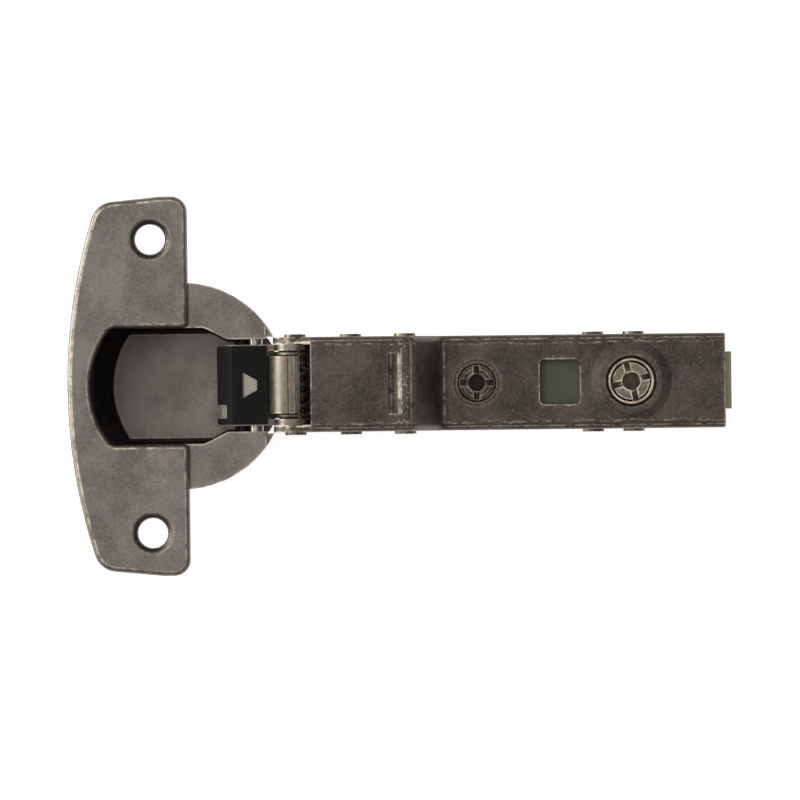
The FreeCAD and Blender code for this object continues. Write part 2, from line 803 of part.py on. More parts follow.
def make_link_cover():
    body = new_body("link_cover")
    pivot_x, pivot_z = front_pivot
    pin_x = cup_rear_pin[0]
    wall = size("cover_sheet")
    throat_x = pivot_x - size("barrel_radius") - 0.2
    throat = pivot_z - size("web_right_drop")
    web_left, web_end = pin_x - size("web_flat"), pin_x - size("web_end")
    left_up = throat - size("web_fall") + size("cover_gap")
    end_z = throat - size("web_fall") - size("web_end_fall")
    right = throat_x - 0.1
    left = pin_x - size("cover_left")
    slope = size("web_fall") / (throat_x - web_left)
    right_up = left_up + slope * (right - web_left)
    foot = end_z - size("cover_foot")
    points = [
        (right, right_up + wall),
        (web_left - 0.2, left_up + wall),
        (left, end_z + 0.3),
        (left, foot),
        (web_end - 0.02, foot),
        (web_end - 0.02, end_z),
        (web_left - 0.02, left_up),
        (right, right_up),
    ]
    across(body, "shell", cover_half, points=points)
    window_left = pin_x - size("window_left")
    window_right = window_left + size("window_long")
    wide = size("window_wide")
    narrow = size("window_narrow")
    pocket(body, "window", "XY_Plane", foot, right_up + wall + 1,
           points=[(window_left, -wide), (window_right, -narrow),
                   (window_right, narrow), (window_left, wide)])
    notch_near = size("notch_from")
    pocket(body, "notch", "XY_Plane", foot - 1, right_up + wall + 1,
           points=rectangle(left - 1, left + size("notch_depth"),
                            -(notch_near + size("notch_long")), -notch_near))
    half = cover_half.value
    dress(body, "Fillet", "corners", size("cover_corner"),
          lambda edge: upright_edge(edge) and near(abs(edge.BoundBox.YMin), half)
          and near(edge.BoundBox.XMin, left.value))
    return body


def make_inner_link():
    body = new_body("inner_link")
    cup_pin_x, cup_pin_z = cup_front_pin
    arm_pin_x = rear_pivot[0] + size("open_pivot_along")
    arm_pin_z = rear_pivot[1] - size("open_pivot_down")
    cup_eye = size("inner_cup_eye")
    arm_eye = size("inner_arm_eye")
    top = front_pivot[1] - size("inner_dip_top")
    bottom = front_pivot[1] - size("inner_dip_bottom")
    dip_start = front_pivot[0] - size("inner_dip_start")
    dip_end = front_pivot[0] + size("inner_dip_end")
    points = [
        (cup_pin_x, cup_pin_z + cup_eye),
        (cup_pin_x - cup_eye, cup_pin_z),
        (cup_pin_x, cup_pin_z - cup_eye),
        (dip_start, bottom),
        (dip_end, bottom),
        (arm_pin_x, arm_pin_z - arm_eye),
        (arm_pin_x + arm_eye, arm_pin_z),
        (arm_pin_x, arm_pin_z + arm_eye),
        (arm_pin_x - arm_eye * 0.8, arm_pin_z + arm_eye * 0.6),
        (dip_end, top),
        (dip_start, top),
    ]
    arcs = {0: cup_eye, 1: cup_eye, 5: arm_eye, 6: arm_eye, 7: arm_eye}
    across(body, "cheeks", inner_half, points=points, arcs=arcs)
    wall = size("inner_sheet")
    low = cup_pin_z - 6
    high = arm_pin_z + arm_eye + 2
    points = [
        (cup_pin_x - cup_eye - 1, high),
        (cup_pin_x - cup_eye - 1, low),
        (dip_start - 1.2, low),
        (dip_start - 0.6, bottom + wall),
        (dip_end + 0.6, bottom + wall),
        (dip_end + 2.0, low),
        (arm_pin_x + arm_eye + 1, low),
        (arm_pin_x + arm_eye + 1, high),
    ]
    cut_across(body, "between_cheeks", inner_half - wall, points=points)
    cut_across(body, "cup_pin_hole", inner_half + 1,
               circles=[(cup_front_pin, size("cup_pin_radius") + size("running_gap"))])
    cut_across(body, "arm_pin_hole", inner_half + 1,
               circles=[((arm_pin_x, arm_pin_z),
                         size("pivot_radius") + size("open_pivot_gap"))])
    return body


# The arm, one cranked channel

def make_arm_channel():
    body = new_body("arm_channel")
    pivot_x, pivot_z = front_pivot
    ear = size("ear_radius")
    front = pivot_x + size("arm_front")
    skirt = pivot_z - size("front_skirt")
    slope_end = crank_end + 1.6
    slope_start = slope_end - size("skirt_slope_run")
    points = [
        (arm_end, arm_bottom),
        (arm_end, rear_top),
        (crank_end, rear_top),
        (crank_start, arm_top),
        (front, arm_top),
        (pivot_x, pivot_z + ear),
        (pivot_x - ear, pivot_z),
        (pivot_x, pivot_z - ear),
        (rear_pivot[0] - 2.6, skirt),
        (slope_start, skirt),
        (slope_end, arm_bottom),
    ]
    across(body, "walls", size("arm_half"), points=points, arcs={5: ear, 6: ear})
    run = size("crank_run")
    fall = size("crank")
    wall = size("arm_sheet")
    shift = wall * (run * run + fall * fall).root() / fall
    slant = run / fall
    inner_start = crank_start + slant * wall - shift
    inner_end = crank_end + slant * wall - shift
    low = arm_bottom - 2
    points = [
        (pivot_x - ear - 1, low),
        (arm_end + 1, low),
        (arm_end + 1, rear_ceiling),
        (inner_end, rear_ceiling),
        (inner_start, front_ceiling),
        (front, front_ceiling),
        (front, arm_top + 1),
        (pivot_x - ear - 1, arm_top + 1),
    ]
    cut_across(body, "inside", arm_inner, points=points)
    dress(body, "Fillet", "crank_bends", size("crank_bend"), is_crank_bend)
    dress(body, "Fillet", "long_edges", size("arm_edge_round"), is_roof_side)
    groove = size("groove_depth")
    groove_half_long = size("groove_long") / 2
    groove_mid = crank_start - size("groove_lead") + groove_half_long
    groove_from, groove_to = groove_mid - groove_half_long, groove_mid + groove_half_long
    groove_round = (groove_half_long * groove_half_long + groove * groove) / (groove * 2)
    cut_across(body, "stop_groove", size("groove_half"),
               points=[(groove_from, arm_top + 1), (groove_from, arm_top),
                       (groove_to, arm_top), (groove_to, arm_top + 1)],
               arcs={1: groove_round})
    groove_width = 2 * size("groove_half").value
    dress(body, "Fillet", "groove_soft", size("groove_soft"),
          lambda edge: level_edge(edge, arm_top) and near(edge.BoundBox.YLength, groove_width)
          and edge.BoundBox.XMin > front.value + 1)
    sight_to = depth_x - size("mound_outer") - size("sight_gap")
    sight = rectangle(sight_to - size("sight_long"), sight_to,
                      -size("sight_half"), size("sight_half"))
    pocket(body, "sight", "XY_Plane", rear_ceiling - 0.5, rear_top + 1, points=sight)
    dress(body, "Fillet", "sight_corners", size("sight_corner"),
          lambda edge: upright_edge(edge)
          and near(abs(edge.BoundBox.YMin), size("sight_half").value)
          and near(edge.BoundBox.ZMax, rear_top.value))
    seat_floor = rear_top - size("side_seat_depth")
    pocket(body, "side_screw_seat", "XY_Plane", seat_floor, rear_top + 1,
           circles=[((side_x, 0), size("side_seat"))])
    pocket(body, "side_screw_hole", "XY_Plane", rear_ceiling - 0.5, rear_top + 1,
           circles=[((side_x, 0), size("side_hole"))])
    mound_outer = size("mound_outer")
    mound_inner = size("mound_inner")
    mound = size("mound_rise")
    turn(body, "mound", depth_x,
         [(depth_x, rear_top - 0.2), (depth_x + mound_outer, rear_top - 0.2),
          (depth_x + mound_outer, rear_top), (depth_x + mound_inner, rear_top + mound),
          (depth_x, rear_top + mound)])
    turn(body, "mound_under", depth_x,
         [(depth_x, rear_ceiling - 0.2), (depth_x + mound_outer, rear_ceiling - 0.2),
          (depth_x + mound_outer, rear_ceiling), (depth_x + mound_inner, rear_ceiling + mound),
          (depth_x, rear_ceiling + mound)], cut=True)
    pocket(body, "depth_screw_hole", "XY_Plane", rear_ceiling - 0.5, rear_top + 1,
           circles=[((depth_x, 0), size("depth_head") + size("depth_head_gap"))])
    rivets = [front_pivot, rear_pivot, damper_pin]
    cut_across(body, "front_rivet_holes", size("arm_half") + 1,
               circles=[(spot, size("pivot_radius")) for spot in rivets])
    cut_across(body, "rear_rivet_holes", size("arm_half") + 1,
               circles=[(guide_pin, size("pivot_radius")),
                        (adapter_pin, size("pivot_radius") + size("running_gap"))])
    return body


def is_crank_bend(edge):
    """True for the two outer edges across the arm where it bends down and flat again."""
    box = edge.BoundBox
    upper = near(box.XMin, crank_start.value) and near(box.ZMin, arm_top.value)
    lower = near(box.XMin, crank_end.value) and near(box.ZMin, rear_top.value)
    return near(box.YLength, 2 * size("arm_half").value) and (upper or lower)


def is_roof_side(edge):
    """True for the outer long edges of the arm's roof, the crank's bends among them."""
    box = edge.BoundBox
    middle = (box.XMin + box.XMax) / 2
    roof = near(box.ZMin, arm_top.value) or near(box.ZMax, arm_top.value) \
        or near(box.ZMin, rear_top.value)
    slope = crank_start.value < middle < crank_end.value and box.ZMin > rear_top.value - 0.02
    return box.YLength < 0.01 and box.XLength > 0.3 and (roof or slope) \
        and near(abs(box.YMin), size("arm_half").value)


# Springs, each a wire swept along a helix

def make_coil(label, spot, wire, coil_radius, pitch, turns, along):
    """A coil with its axis along Y or X, centred at spot."""
    height = pitch * turns
    helix = doc.addObject("Part::Helix", label + "_path")
    bind(helix, "Pitch", pitch)
    bind(helix, "Height", height)
    bind(helix, "Radius", coil_radius)
    ring = doc.addObject("Part::Circle", label + "_wire")
    bind(ring, "Radius", wire / 2)
    place(ring, x=coil_radius, axis=(1, 0, 0), angle=90)
    doc.recompute()
    coil = doc.addObject("Part::Sweep", label)
    coil.Sections = [ring]
    coil.Spine = (helix, [])
    coil.Solid = True
    coil.Frenet = True
    coil.Label = label
    if along == "y":
        place(coil, x=spot[0], y=height / 2, z=spot[1], axis=(1, 0, 0), angle=90)
    else:
        place(coil, x=spot[0], z=spot[1], axis=(0, 1, 0), angle=90)
    return coil


def make_damper_housing():
    body = new_body("damper_housing")
    front = front_pivot[0] + size("damper_front")
    high = front_ceiling - size("damper_head_gap")
    low = high - size("damper_low")
    tail = damper_pin[1] - size("damper_tail")
    slant = size("crank_run") / size("crank")
    across(body, "block", size("damper_half"),
           points=[(front, low), (damper_pin[0] - 2.4, low),
                   (damper_pin[0] - 1.6, tail), (damper_back - slant * 2 + 1.2, tail),
                   (damper_back, damper_z), (damper_back - 1.5, high), (front, high)])
    pocket(body, "bore", "YZ_Plane", front - 1, bore_end,
           circles=[((0, damper_z), size("plunger_head") + size("running_gap"))])
    pad(body, "gland", "YZ_Plane", front, front + size("gland_long"),
        circles=[((0, damper_z), size("plunger_head") + 0.1),
                 ((0, damper_z), size("plunger_radius") + size("running_gap"))])
    cut_across(body, "rivet_hole", size("damper_half") + 1,
               circles=[(damper_pin, size("pivot_radius"))])
    return body


def make_damper_plunger():
    body = new_body("damper_plunger")
    face = front_pivot[0] + size("plunger_face")
    pad(body, "stem", "YZ_Plane", face, plunger_end,
        circles=[((0, damper_z), size("plunger_radius"))])
    pad(body, "nose", "YZ_Plane", face, face + size("plunger_head_long"),
        circles=[((0, damper_z), size("plunger_head"))])
    pad(body, "piston", "YZ_Plane", plunger_end, plunger_end + size("plunger_head_long"),
        circles=[((0, damper_z), size("plunger_head"))])
    return body


# The screws

def cut_cross(body, spot_x, top, long, wide, depth, turned=0):
    """A cross slot in a screw's head, turned by some degrees."""
    turned = dim(turned)
    for number, (reach, width) in enumerate(((long, wide), (wide, long))):
        points = [(spot_x + x * turned.cosine() - y * turned.sine(),
                   x * turned.sine() + y * turned.cosine())
                  for x, y in rectangle(-reach, reach, -width, width)]
        pocket(body, f"slot{number}", "XY_Plane", top - depth, top + 1, points=points)


def make_side_screw():
    body = new_body("side_screw")
    head_top = rear_top - size("side_recess")
    head_floor = rear_top - size("side_seat_depth") + 0.05
    collar_top = rear_ceiling - size("side_collar_gap")
    collar_low = collar_top - size("side_collar_long")
    collar = size("side_collar")
    neck = size("side_hole") - size("side_hole_gap")
    head = size("side_head")
    foot = rear_top - size("side_foot")
    thread = size("side_thread")
    turn(body, "turned", side_x,
         [(side_x, foot), (side_x + thread - 0.5, foot), (side_x + thread, foot + 0.5),
          (side_x + thread, collar_low), (side_x + collar, collar_low),
          (side_x + collar, collar_top), (side_x + neck, collar_top),
          (side_x + neck, head_floor), (side_x + head, head_floor + 0.1),
          (side_x + head, head_top - 0.15), (side_x + head - 0.15, head_top),
          (side_x, head_top)])
    slot_depth = size("side_slot_depth")
    cut_cross(body, side_x, head_top, head - 0.3, size("side_slot"), slot_depth)
    socket = size("side_socket")
    pocket(body, "socket", "XY_Plane", head_top - slot_depth - 0.4, head_top + 1,
           circles=[((side_x, 0), socket)])
    ring = socket + size("side_ring_gap")
    pocket(body, "ring_groove", "XY_Plane", head_top - size("side_ring_depth"), head_top + 1,
           circles=[((side_x, 0), ring + size("side_ring_wide")), ((side_x, 0), ring)])
    return body


def make_depth_screw():
    body = new_body("depth_screw")
    head_top = rear_top + size("mound_rise") - size("depth_recess")
    rim_floor = plate_top + size("depth_flange")
    head = size("depth_head")
    shoulder = size("depth_shoulder")
    neck = size("depth_neck") - size("running_gap")
    cam_top = adapter_top + 0.05
    ring = head - size("depth_ring")
    boss = ring - size("depth_moat")
    bowl_floor = head_top - size("depth_bowl")
    boss_top = head_top - size("depth_boss")
    turn(body, "turned", depth_x,
         [(depth_x, cam_top), (depth_x + neck, cam_top), (depth_x + neck, plate_top + 0.05),
          (depth_x + shoulder, plate_top + 0.05), (depth_x + shoulder, rim_floor),
          (depth_x + head, rim_floor), (depth_x + head, head_top - 0.2),
          (depth_x + head - 0.2, head_top), (depth_x + ring + 0.1, head_top),
          (depth_x + ring, head_top - 0.15), (depth_x + ring - 0.05, bowl_floor),
          (depth_x + boss + 0.05, bowl_floor), (depth_x + boss - 0.15, boss_top),
          (depth_x, boss_top)])
    pad(body, "cam", "XY_Plane", cam_top - size("cam_long"), cam_top,
        circles=[((depth_x, size("cam_throw")), size("cam_radius"))])
    slot_depth = size("depth_slot_depth")
    cut_cross(body, depth_x, boss_top, boss + 0.1, size("depth_slot"), slot_depth,
              turned=size("depth_slot_turn"))
    pocket(body, "socket", "XY_Plane", boss_top - slot_depth - 0.35, head_top + 1,
           circles=[((depth_x, 0), size("depth_socket"))])
    return body


# The slide plate, between the arm and the adapter

def make_slide_plate():
    body = new_body("slide_plate")
    pin_x, pin_z = adapter_pin
    front = side_x - size("plate_lead")
    back = pin_x + size("plate_trail")
    pad(body, "plate", "XY_Plane", plate_bottom, plate_top,
        points=rectangle(front, back, -plate_half, plate_half))
    pad(body, "bush", "XY_Plane", plate_bottom - size("bush_long"), plate_bottom,
        circles=[((side_x, 0), bush_radius)])
    lug_back = size("lug_back")
    lug_foot = pin_z - size("pivot_radius") - size("lug_foot")
    across(body, "lugs", lug_outer,
           points=rectangle(pin_x - lug_back, pin_x + lug_back, lug_foot, plate_bottom + 0.2))
    cut_across(body, "between_lugs", lug_inner,
               points=rectangle(pin_x - lug_back - 1, pin_x + lug_back + 1,
                                lug_foot - 1, plate_bottom))
    pocket(body, "thread_hole", "XY_Plane", plate_bottom - size("bush_long") - 1, plate_top + 1,
           circles=[((side_x, 0), size("side_thread") + size("side_thread_gap"))])
    pocket(body, "screw_hole", "XY_Plane", plate_bottom - 1, plate_top + 1,
           circles=[((depth_x, 0), size("depth_neck"))])
    cut_across(body, "pin_hole", lug_outer + 1,
               circles=[(adapter_pin, size("pivot_radius"))])
    return body


# The adapter, the channel that clips on the mounting plate

def make_adapter_channel():
    body = new_body("adapter_channel")
    front = adapter_front
    back = adapter_back
    half = adapter_half
    nose = size("adapter_nose")
    across(body, "walls", half,
           points=[(front + nose, adapter_low), (back, adapter_low), (back, adapter_top),
                   (front, adapter_top), (front, adapter_low + nose)])
    cut_across(body, "inside", adapter_inner,
               points=rectangle(front - 1, back + 1, adapter_low - 1, adapter_ceiling))
    travel = size("depth_travel")
    cam_reach = size("cam_radius") + size("cam_gap")
    cam_side = size("cam_radius") + size("cam_throw") + size("cam_gap")
    pocket(body, "cam_slot", "XY_Plane", adapter_ceiling - 1, adapter_top + 1,
           points=rectangle(depth_x - cam_reach, depth_x + cam_reach,
                            -cam_side, cam_side))
    pocket(body, "catch_bay", "XY_Plane", adapter_ceiling - 1, adapter_top + 1,
           points=rectangle(catch_pin[0] - 0.9, back + 1, -adapter_inner, adapter_inner))
    lug_reach = size("lug_back") + travel + size("tilt_room")
    for side, label in ((1, "left"), (-1, "right")):
        inner = side * (lug_inner - size("lug_side_gap"))
        outer = side * adapter_inner
        low, high = (inner, outer) if side > 0 else (outer, inner)
        pocket(body, f"lug_slot_{label}", "XY_Plane", adapter_ceiling - 1, adapter_top + 1,
               points=rectangle(adapter_pin[0] - lug_reach, adapter_pin[0] + lug_reach,
                                low, high))
    front_room = bush_radius + travel + 0.3
    pocket(body, "front_bay", "XY_Plane", adapter_ceiling - 1, adapter_top + 1,
           points=rectangle(front - 1, side_x + front_room, -bush_radius - 0.4,
                            bush_radius + 0.4))
    reach = size("pivot_radius")
    slots = (("pin_slot", adapter_pin, size("running_gap")),
             ("guide_slot", guide_pin, size("tilt_room")))
    for label, (spot_x, spot_z), room in slots:
        tall = reach + room
        wide = travel + size("tilt_room")
        cut_across(body, label, half + 1,
                   points=[(spot_x - wide, spot_z - tall), (spot_x + wide, spot_z - tall),
                           (spot_x + wide + tall, spot_z), (spot_x + wide, spot_z + tall),
                           (spot_x - wide, spot_z + tall), (spot_x - wide - tall, spot_z)],
                   arcs={1: tall, 2: tall, 4: tall, 5: tall})
    hook = front + size("hook_from")
    cut_across(body, "front_hook", half + 1,
               points=rectangle(hook, hook + size("hook_long"), adapter_low - 1,
                                adapter_low + size("hook_deep")))
    cut_across(body, "catch_hole", half + 1,
               circles=[(catch_pin, size("catch_pin_radius"))])
    return body


# The release catch

def make_catch_lever():
    body = new_body("catch_lever")
    pin_x, pin_z = catch_pin
    eye = size("catch_eye")
    wall = size("catch_sheet")
    face = arm_end + size("catch_tab")
    top = adapter_ceiling - size("catch_top")
    low = adapter_low + size("catch_foot")
    across(body, "cheeks", catch_half,
           points=[(pin_x, pin_z + eye), (pin_x - eye, pin_z), (pin_x, pin_z - eye),
                   (pin_x + 3.0, low), (face, low), (face, top),
                   (face - 2.2, top)],
           arcs={0: eye, 1: eye})
    cut_across(body, "inside", catch_half - wall,
               points=[(pin_x - eye - 1, pin_z + eye + 1), (pin_x - eye - 1, low - 1),
                       (pin_x + 4.0, low - 1), (pin_x + 4.4, low + wall),
                       (face - wall, low + wall), (face - wall, top + 1),
                       (pin_x, top + 1)])
    cut_across(body, "pin_hole", catch_half + 1,
               circles=[(catch_pin, size("catch_pin_radius") + size("running_gap"))])
    return body


make_cup_shell()
for label, spot in (("cup_front_pin", cup_front_pin), ("cup_rear_pin", cup_rear_pin)):
    make_pin(label, spot, size("cup_pin_radius"), neck_half + size("cup_sheet"))
make_outer_link()
make_link_cover()
make_inner_link()
make_arm_channel()
for label, spot in (("front_pivot_pin", front_pivot), ("rear_pivot_pin", rear_pivot),
                    ("damper_rivet", damper_pin), ("guide_pin", guide_pin),
                    ("adapter_pin", adapter_pin)):
    make_pin(label, spot, size("pivot_radius"), size("arm_half"), size("rivet_head"),
             size("rivet_rise"))
make_pin("catch_pin", catch_pin, size("catch_pin_radius"), adapter_half)
make_coil("closing_spring", front_pivot, size("spring_wire"), size("spring_radius"),
          size("spring_pitch"), size("spring_turns"), "y")
catch_radius = size("catch_pin_radius") + size("catch_spring_gap") + size("catch_wire") / 2
make_coil("catch_spring", catch_pin, size("catch_wire"), catch_radius,
          size("catch_pitch"), size("catch_turns"), "y")
make_damper_housing()
make_damper_plunger()
plunger_back = plunger_end + size("plunger_head_long") + size("damper_spring_gap")
damper_turns = (bore_end - size("damper_spring_gap") - plunger_back) / size("damper_pitch")
make_coil("damper_spring", (plunger_back, damper_z), size("damper_wire"),
          size("plunger_head") - size("damper_wire"), size("damper_pitch"), damper_turns, "x")
make_side_screw()
make_slide_plate()
make_depth_screw()
make_adapter_channel()
make_catch_lever()
doc.recompute()

NODES = ["cup_shell", "cup_front_pin", "cup_rear_pin", "outer_link", "link_cover", "inner_link",
         "arm_channel", "front_pivot_pin", "rear_pivot_pin", "damper_rivet", "guide_pin",
         "adapter_pin", "catch_pin", "closing_spring", "catch_spring", "damper_housing",
         "damper_plunger", "damper_spring", "side_screw", "slide_plate", "depth_screw",
         "adapter_channel", "catch_lever"]

for thing in doc.Objects:
    if "Invalid" in thing.State or "Error" in thing.State:
        raise ValueError(f"{thing.Name} failed: {thing.State}")
os.makedirs("parts", exist_ok=True)
for node in NODES:
    shape = doc.getObjectsByLabel(node)[0].Shape
    if shape.isNull() or not shape.isValid():
        raise ValueError(f"{node} has no valid shape")
    print(node, len(shape.Solids), round(shape.Volume, 3))
    shape.exportStep(f"parts/{node}.step")
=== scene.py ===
import math

import bpy
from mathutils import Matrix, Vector


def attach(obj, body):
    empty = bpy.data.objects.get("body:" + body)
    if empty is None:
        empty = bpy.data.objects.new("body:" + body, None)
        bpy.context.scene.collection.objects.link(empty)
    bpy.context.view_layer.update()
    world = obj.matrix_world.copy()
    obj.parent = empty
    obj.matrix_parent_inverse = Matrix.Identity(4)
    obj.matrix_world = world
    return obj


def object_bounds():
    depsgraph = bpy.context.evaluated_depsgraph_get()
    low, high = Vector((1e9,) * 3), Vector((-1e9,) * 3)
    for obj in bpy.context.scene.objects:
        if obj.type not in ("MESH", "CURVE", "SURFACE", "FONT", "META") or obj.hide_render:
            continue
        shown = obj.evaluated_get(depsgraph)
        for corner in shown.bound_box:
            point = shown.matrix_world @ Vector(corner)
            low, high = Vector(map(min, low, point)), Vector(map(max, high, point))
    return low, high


# Looks of a cranked concealed hinge: blackened nickel on pressed steel, worn pale along its
# edges, with a black moulded link cover, a black coil spring and two cross-slot screws.
# +X runs along the arm, +Y along the pivot pins and +Z out of the door. Lengths are in metres,
# and those whose name or comment says mm are multiplied by MM.

MM = 0.001
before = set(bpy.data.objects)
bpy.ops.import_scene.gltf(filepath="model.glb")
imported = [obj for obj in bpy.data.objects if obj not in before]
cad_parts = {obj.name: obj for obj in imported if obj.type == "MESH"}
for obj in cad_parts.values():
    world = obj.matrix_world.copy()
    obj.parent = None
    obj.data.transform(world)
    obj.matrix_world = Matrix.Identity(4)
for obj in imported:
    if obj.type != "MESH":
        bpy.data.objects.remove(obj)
cad_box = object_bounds()


# Colours and nodes

def srgb(code):
    """Turns an sRGB hex colour into the linear one that Blender's sockets take."""
    parts = [int(code[i:i + 2], 16) / 255 for i in (1, 3, 5)]
    return tuple(p / 12.92 if p <= 0.04045 else ((p + 0.055) / 1.055) ** 2.4
                 for p in parts) + (1,)


def add_node(tree, kind, inputs=None, output=0, **settings):
    """Adds one node with its settings and links. An input is a plain value, or a socket to
    link from. Gives the output that is asked for, or with None the node itself."""
    node = tree.nodes.new("ShaderNode" + kind)
    for name, value in settings.items():
        setattr(node, name, value)
    for name, value in (inputs or {}).items():
        if isinstance(value, bpy.types.NodeSocket):
            tree.links.new(value, node.inputs[name])
        else:
            node.inputs[name].default_value = value
    return node if output is None else node.outputs[output]


def new_material(name):
    material = bpy.data.materials.new(name)
    material.use_nodes = True
    material.node_tree.nodes.clear()
    return material, material.node_tree


# A Mix node names its sockets alike for every kind of data, so they go by number.
FACTOR, NUMBER_A, NUMBER_B, COLOUR_A, COLOUR_B = 0, 2, 3, 6, 7
COLOUR_OUT = 2


# Sizes of the finish, in mm. The grain and the chips of real plating are a few hundredths of
# a millimetre, too fine for the picture, so those marked coarser are drawn several times as
# large.

CLOUD = 7.0                    # soft clouds in the plating's tone, as large as the real ones
MOTTLE = 0.6                   # its grain, coarser
GRAIN_HEIGHT = 0.02            # how high that grain stands
EDGE_REACH = 0.35              # how far in from an edge its rubbed line reaches, as the real one
EDGE_STRETCH = 1.6             # the stretches that the line breaks into
CRUMB_REACH = 1.1              # how far in from an edge it is chipped
CRUMB = 0.4                    # the chips there, coarser
BEND_WAVE = 4.0                # the length of the bend line's wavering
BEND_SWAY = 0.7                # how far the line strays to each side
BEND_STRETCH = 1.1             # the stretches that it breaks into
RECESS_REACH = 1.4             # the width of the slots and corners that are painted black as shade
CHIP = 0.3                     # chips all over, coarser
CHIP_PATCH = 5.0               # the patches that they gather in
SCRAPE = 0.45                  # chips in the scraped band, coarser
SCRAPE_FADE = 0.8              # how softly that band ends
WEB_FADE = 0.3                 # how softly the bright strip of the link's web ends
HAIR_SCRATCHES = (             # turn in degrees, then width, coarser, and length
    (28, 0.13, 2.4), (-47, 0.12, 1.8), (83, 0.12, 1.5))
OCCLUSION_SAMPLES = 6

# How far an edge's round looks up, from 0 to 1, where rubbing starts, is full, is full for the
# last time, and has ended
ARM_SHOULDERS = (0.82, 0.92, 0.955, 0.972)
CUP_SHOULDERS = (0.86, 0.95, 0.995, 0.9995)

# Radii in mm round the upright axes of screws and screw holes
SOCKET_CORE = (1.0, 1.6)       # the socket's middle, painted black as shade
SOCKET_RIM = (3.15, 3.3)       # its slots, and the painted shade over them, end inside the screw's rim
SINK_RIM = (3.2, 3.9)          # the countersink's slope, painted darker as shade
SINK_RING = (3.9, 4.3)         # the flange just round it
SEAT_RING = (4.7, 5.1)         # the arm just round a screw


# Wear and shade, each a 0 to 1 mask on the piece's own surface

def looks_up(tree):
    """1 for a level face and 0 for an upright one."""
    normal = add_node(tree, "TexCoord", output="Normal")
    return add_node(tree, "SeparateXYZ", {"Vector": normal}, "Z")


def from_middle_plane(tree, place):
    """The distance from the plane that the hinge is the same on both sides of."""
    across = add_node(tree, "SeparateXYZ", {"Vector": place}, "Y")
    return add_node(tree, "Math", {0: across}, operation="ABSOLUTE")


def rubbed_edges(tree, place, shoulders):
    """Sharp outer edges and the shoulders of rounded ones, in broken stretches, as handling
    rubs them."""
    starts, full, still_full, ended = shoulders
    inside = add_node(tree, "AmbientOcclusion", {"Distance": EDGE_REACH * MM}, "AO",
                      samples=OCCLUSION_SAMPLES, inside=True, only_local=True)
    sharp = add_node(tree, "MapRange", {"Value": inside, "From Min": 0.97, "From Max": 0.72},
                     interpolation_type="SMOOTHSTEP")
    upward = looks_up(tree)
    steep = add_node(tree, "MapRange", {"Value": upward, "From Min": starts, "From Max": full},
                     interpolation_type="SMOOTHSTEP")
    level = add_node(tree, "MapRange", {"Value": upward, "From Min": ended,
                                        "From Max": still_full},
                     interpolation_type="SMOOTHSTEP")
    shoulder = add_node(tree, "Math", {0: steep, 1: level}, operation="MULTIPLY")
    edge = add_node(tree, "Math", {0: sharp, 1: shoulder}, operation="MAXIMUM")
    breaks = add_node(tree, "TexNoise", {"Vector": place, "Scale": 1 / (EDGE_STRETCH * MM),
                                         "Detail": 5.0, "Roughness": 0.65}, "Fac")
    broken = add_node(tree, "MapRange", {"Value": breaks, "From Min": 0.36, "From Max": 0.62})
    return add_node(tree, "Math", {0: edge, 1: broken}, operation="MULTIPLY")


def hair_scratches(tree, place, turn_deg, width_mm, long_mm):
    """Sparse straight scratches in one direction."""
    along = add_node(tree, "Mapping",
                     {"Vector": place, "Rotation": (0, 0, math.radians(turn_deg)),
                      "Scale": (long_mm * MM, width_mm * MM, width_mm * MM)},
                     vector_type="TEXTURE")
    lines = add_node(tree, "TexNoise", {"Vector": along, "Scale": 1.0, "Detail": 0.0}, "Fac")
    return add_node(tree, "MapRange", {"Value": lines, "From Min": 0.79, "From Max": 0.88},
                    interpolation_type="SMOOTHSTEP")


def edge_crumbs(tree, place):
    """Fine chips that crowd along the outer edges."""
    inside = add_node(tree, "AmbientOcclusion", {"Distance": CRUMB_REACH * MM}, "AO",
                      samples=OCCLUSION_SAMPLES, inside=True, only_local=True)
    near_edge = add_node(tree, "MapRange", {"Value": inside, "From Min": 0.995,
                                            "From Max": 0.88})
    dots = add_node(tree, "TexNoise", {"Vector": place, "Scale": 1 / (CRUMB * MM),
                                       "Detail": 3.0, "Roughness": 0.75}, "Fac")
    chips = add_node(tree, "MapRange", {"Value": dots, "From Min": 0.54, "From Max": 0.68})
    return add_node(tree, "Math", {0: near_edge, 1: chips}, operation="MULTIPLY")


def chips_all_over(tree, place, size_mm, amount):
    """Small pits and chips down to the pale metal, gathered in patches."""
    dots = add_node(tree, "TexNoise", {"Vector": place, "Scale": 1 / (size_mm * MM),
                                       "Detail": 1.0}, "Fac")
    patches = add_node(tree, "TexNoise", {"Vector": place, "Scale": 1 / (CHIP_PATCH * MM),
                                          "Detail": 2.0}, "Fac")
    limit = add_node(tree, "MapRange", {"Value": patches, "From Min": 0.3, "From Max": 0.7,
                                        "To Min": 0.8 - 0.1 * amount,
                                        "To Max": 0.68 - 0.1 * amount})
    over = add_node(tree, "Math", {0: dots, 1: limit}, operation="SUBTRACT")
    return add_node(tree, "MapRange", {"Value": over, "From Min": 0.0, "From Max": 0.05})


def recess_shade(tree, all_black, none_black):
    """Painted shade in slots, steps and inner corners, where the black plating is also never
    rubbed. The two values are how open a spot is, from 0 to 1, where it is all black and where
    it isn't at all."""
    open_to_air = add_node(tree, "AmbientOcclusion", {"Distance": RECESS_REACH * MM}, "AO",
                           samples=OCCLUSION_SAMPLES, only_local=True)
    return add_node(tree, "MapRange", {"Value": open_to_air, "From Min": none_black,
                                       "From Max": all_black},
                    interpolation_type="SMOOTHSTEP")


